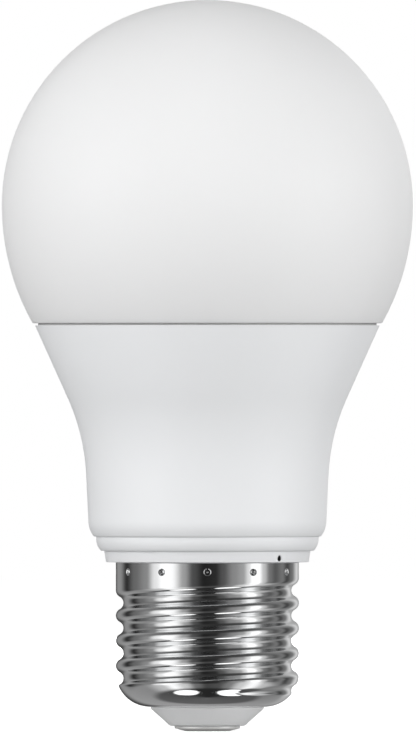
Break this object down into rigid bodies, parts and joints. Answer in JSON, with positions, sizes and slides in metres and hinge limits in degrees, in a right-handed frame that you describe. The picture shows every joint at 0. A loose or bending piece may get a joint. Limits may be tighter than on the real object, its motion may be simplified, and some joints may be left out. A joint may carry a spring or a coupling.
{
  "type": "smart light bulb",
  "caption": "A60 smart light bulb with an opal globe, a white stepped housing, an E27 screw cap, and its light-source board, driver and radio module inside",
  "frame": {"origin": "middle of the centre contact's flat face, where the lampholder's centre spring presses", "axes": "+Z along the bulb from the contact to the top of the globe; -Y is the front; +X is to the right seen from the front"},
  "size_m": [0.0594, 0.0594, 0.1056],
  "materials": {
    "nickel_plate": "bright nickel plate on brass sheet",
    "insulator_plastic": "light grey moulded insulator",
    "contact_metal": "plated contact, slightly dull",
    "housing_plastic": "satin white moulded plastic",
    "globe_plastic": "opal white diffusing plastic, satin",
    "silicone": "grey silicone",
    "aluminium": "bare drawn aluminium",
    "thermal_silicone": "blue-grey thermal pad",
    "white_board": "aluminium-core board, white solder mask",
    "warm_phosphor": "white package, orange-yellow phosphor",
    "cool_phosphor": "white package, yellow phosphor",
    "colour_emitters": "white package, clear lens over three chips",
    "screw_steel": "zinc-plated screw",
    "socket_plastic": "white socket",
    "capacitor_sleeve": "dark sleeve, bare aluminium top",
    "ferrite": "dark grey ferrite",
    "copper_wire": "enamelled copper wire",
    "bobbin_plastic": "black bobbin",
    "winding_tape": "yellow tape over the winding",
    "film_case": "red-brown moulded case",
    "varistor_epoxy": "blue epoxy",
    "resistor_body": "green-grey lacquer",
    "header_plastic": "black header",
    "pin_metal": "gold flash on brass",
    "radio_board_resin": "blue solder mask",
    "chip_resin": "black moulding resin",
    "crystal_can": "metal lid",
    "chip_ceramic": "tan ceramic, tinned ends",
    "copper_track": "copper track under clear mask",
    "live_insulation": "red insulation",
    "neutral_insulation": "blue insulation, bare tinned end",
    "resistor_chip": "black top, tinned ends",
    "driver_board_resin": "green solder mask"
  },
  "bodies": {
    "root": {"screw_shell": "nickel_plate", "cap_insulator": "insulator_plastic", "centre_contact": "contact_metal", "outer_housing": "housing_plastic", "diffuser_globe": "globe_plastic", "globe_seal": "silicone", "heat_sink_cup": "aluminium", "thermal_pad": "thermal_silicone", "led_board": "white_board", "warm_leds": "warm_phosphor", "cool_leds": "cool_phosphor", "colour_leds": "colour_emitters", "board_screws": "screw_steel", "board_socket": "socket_plastic", "input_capacitor": "capacitor_sleeve", "output_capacitor": "capacitor_sleeve", "storage_inductor_core": "ferrite", "storage_inductor_winding": "copper_wire", "filter_inductor_core": "ferrite", "filter_inductor_winding": "copper_wire", "transformer_core": "ferrite", "transformer_bobbin": "bobbin_plastic", "transformer_winding": "winding_tape", "film_capacitor": "film_case", "varistor": "varistor_epoxy", "fusible_resistor": "resistor_body", "header_body": "header_plastic", "header_pins": "pin_metal", "radio_header_body": "header_plastic", "radio_header_pins": "pin_metal", "radio_board": "radio_board_resin", "radio_chip": "chip_resin", "radio_crystal": "crystal_can", "radio_capacitors": "chip_ceramic", "radio_antenna": "copper_track", "live_lead": "live_insulation", "neutral_lead": "neutral_insulation", "bridge_rectifier": "chip_resin", "buck_controller": "chip_resin", "dimmer_driver": "chip_resin", "rectifier_diodes": "chip_resin", "chip_resistors": "resistor_chip", "chip_capacitors": "chip_ceramic", "driver_board": "driver_board_resin"}
  },
  "joints": []
}
